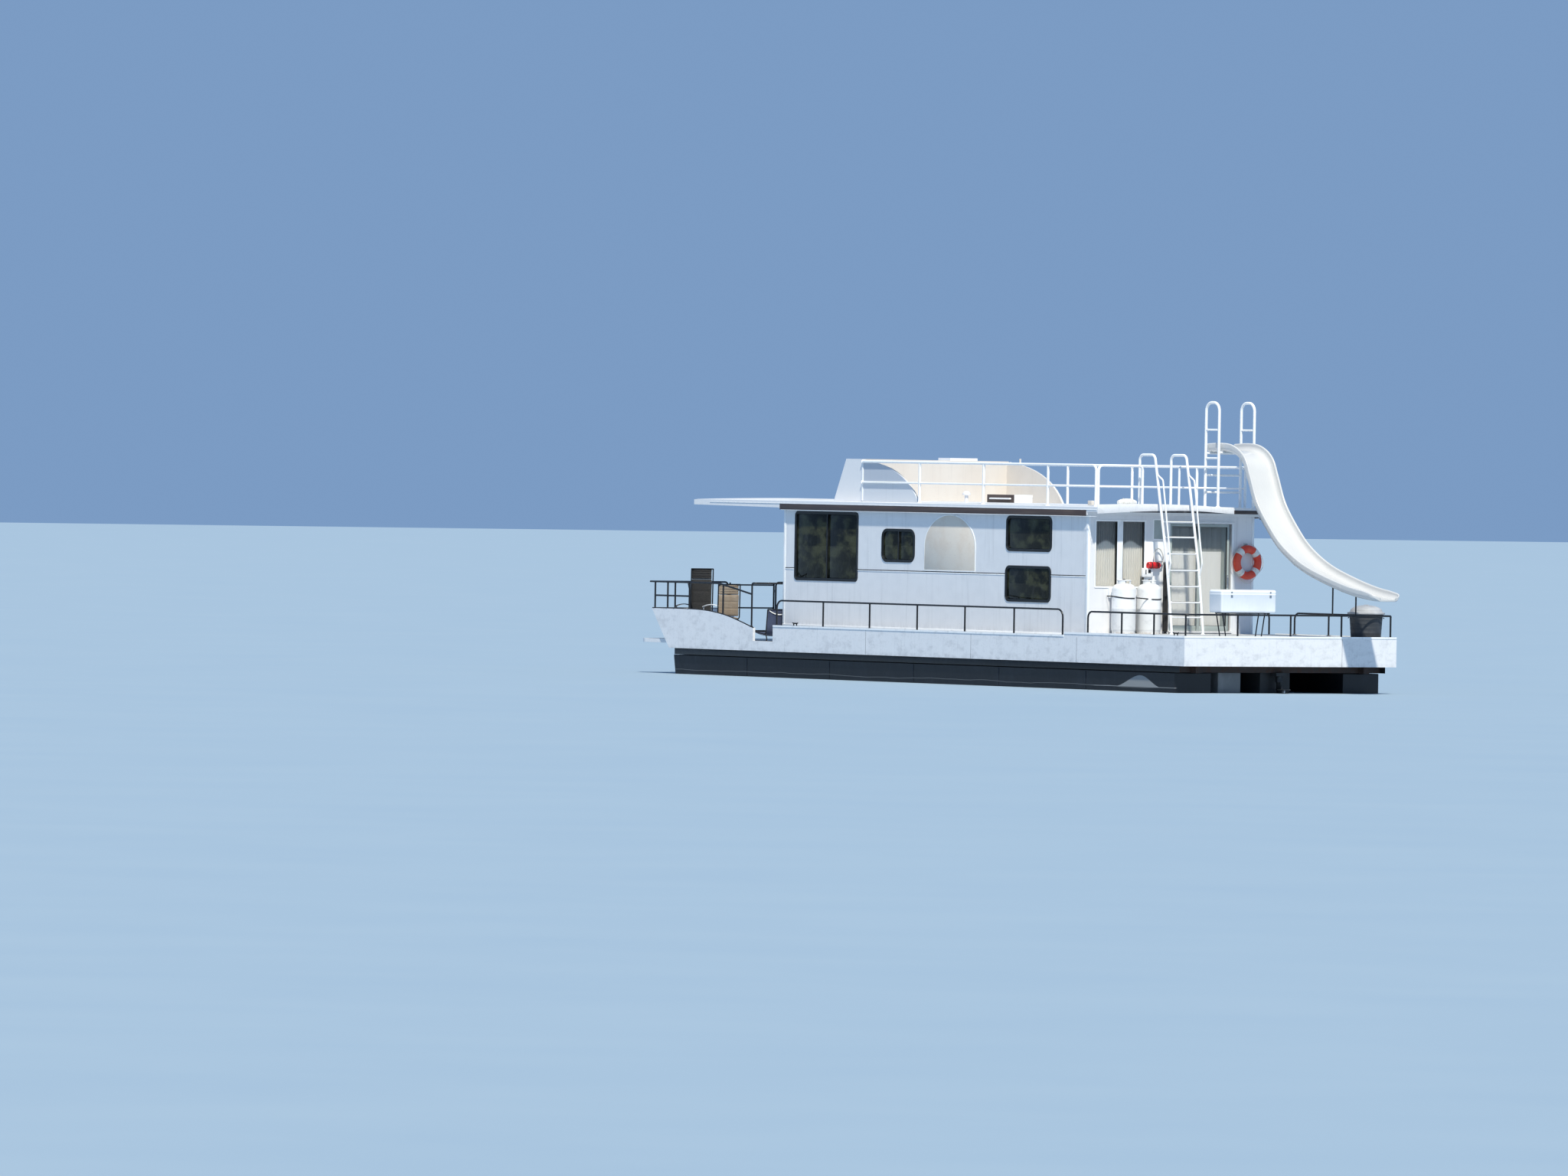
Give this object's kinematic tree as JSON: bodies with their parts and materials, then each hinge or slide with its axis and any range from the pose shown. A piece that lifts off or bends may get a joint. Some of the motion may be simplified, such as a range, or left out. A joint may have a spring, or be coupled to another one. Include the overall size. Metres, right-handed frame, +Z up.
{
  "type": "pontoon houseboat",
  "caption": "Twin-pontoon houseboat with a cabin under a canopy roof, rooftop rails and fairing, a stern ladder, a water slide and a steering propeller drive.",
  "frame": {"origin": "centre of the overall length and beam, level with the flat bottoms of the pontoons", "axes": "+X towards the stern, bow at -X; port side faces -Y; +Z up"},
  "size_m": [17.4538, 4.72, 5.579],
  "materials": {
    "hull_black": "worn satin paint",
    "beam_brown": "weathered primer",
    "white_panel": "satin white paint",
    "cream_panel": "weathered satin cream",
    "white_tube": "white powder coat",
    "black_tube": "black powder coat",
    "white_gelcoat": "glossy gelcoat",
    "white_enamel": "scuffed white enamel",
    "tinted_glass": "dark tint",
    "cabin_wood": "satin varnish",
    "black_plastic": "moulded",
    "grey_plastic": "moulded",
    "ring_red": "faded",
    "red_enamel": "gloss",
    "navy_cloth": "woven",
    "grey_cloth": "woven",
    "engine_grey": "painted",
    "drive_black": "satin"
  },
  "bodies": {
    "hull": {"pontoon_port": "hull_black", "pontoon_starboard": "hull_black", "deck_frame": "beam_brown", "deck_main": "white_panel", "deck_bow": "white_panel", "bulwark_port": "white_panel", "bulwark_starboard": "white_panel", "bow_rail_port": "black_tube", "bow_rail_starboard": "black_tube", "side_rail_port": "black_tube", "side_rail_starboard": "black_tube", "stern_rail": "black_tube", "cabin_wall_port": "white_panel", "cabin_wall_starboard": "white_panel", "cabin_wall_front": "white_panel", "cabin_wall_stern": "white_panel", "window_saloon_port": "tinted_glass", "window_saloon_starboard": "tinted_glass", "window_galley_port": "tinted_glass", "window_galley_starboard": "tinted_glass", "window_bunk_upper_port": "tinted_glass", "window_bunk_upper_starboard": "tinted_glass", "window_bunk_lower_port": "tinted_glass", "window_bunk_lower_starboard": "tinted_glass", "window_front_port": "tinted_glass", "window_front_starboard": "tinted_glass", "window_stern": "tinted_glass", "stern_door_fixed": "cream_panel", "cabin_fittings": "cabin_wood", "helm_console": "cream_panel", "roof": "white_panel", "rooftop_fairing": "cream_panel", "roof_hatch": "cream_panel", "upper_rail_port": "white_tube", "upper_rail_starboard": "white_tube", "stern_ladder": "white_tube", "slide_flume": "white_gelcoat", "slide_frame": "white_tube", "gas_cylinder_port": "white_enamel", "gas_cylinder_starboard": "white_enamel", "stowage_box": "white_gelcoat", "stowage_stand": "black_tube", "waste_tub": "black_plastic", "tub_lid": "grey_plastic", "life_ring": "ring_red", "extinguisher": "red_enamel", "furled_pole": "navy_cloth", "chair_port": "navy_cloth", "chair_centre": "grey_cloth", "sling_chair": "navy_cloth", "engine_block": "engine_grey", "holding_tank": "grey_plastic"},
    "front_door": {"front_door": "cream_panel"},
    "stern_door": {"stern_door_slider": "cream_panel"},
    "bow_gate": {"bow_gate": "black_tube"},
    "stowage_lid": {"stowage_lid": "white_gelcoat"},
    "steering_wheel": {"steering_wheel": "black_plastic"},
    "drive_leg": {"drive_leg": "drive_black"},
    "propeller": {"propeller": "drive_black"}
  },
  "joints": [
    {"name": "front_door_hinge", "type": "hinge", "parent": "hull", "child": "front_door", "pos_m": [-4.893, -0.397, 1.65], "axis": [0, 0, 1], "range_deg": [0, 100]},
    {"name": "stern_door_slide", "type": "slide", "parent": "hull", "child": "stern_door", "axis": [0, -1, 0], "range_m": [-0.074, 0.56]},
    {"name": "bow_gate_hinge", "type": "hinge", "parent": "hull", "child": "bow_gate", "pos_m": [-8.347, -0.545, 1.6], "axis": [0, 0, -1], "range_deg": [0, 90]},
    {"name": "stowage_lid_hinge", "type": "hinge", "parent": "hull", "child": "stowage_lid", "pos_m": [7.153, -0.95, 2.2402], "axis": [0, -1, 0], "range_deg": [0, 95]},
    {"name": "drive_steer", "type": "hinge", "parent": "hull", "child": "drive_leg", "pos_m": [7.183, 0, 0.75], "axis": [0, 0, 1], "range_deg": [-30, 30]},
    {"name": "propeller_spin", "type": "hinge", "parent": "drive_leg", "child": "propeller", "pos_m": [7.35, 0, 0.33], "axis": [1, 0, 0], "continuous": true},
    {"name": "steering_wheel_turn", "type": "hinge", "parent": "hull", "child": "steering_wheel", "pos_m": [-4.297, 1.07, 1.95], "axis": [1, 0, 0], "range_deg": [-540, 540]}
  ],
  "couplings": [
    {"joint": "steering_wheel_turn", "follows": "drive_steer", "ratio": 18}
  ]
}
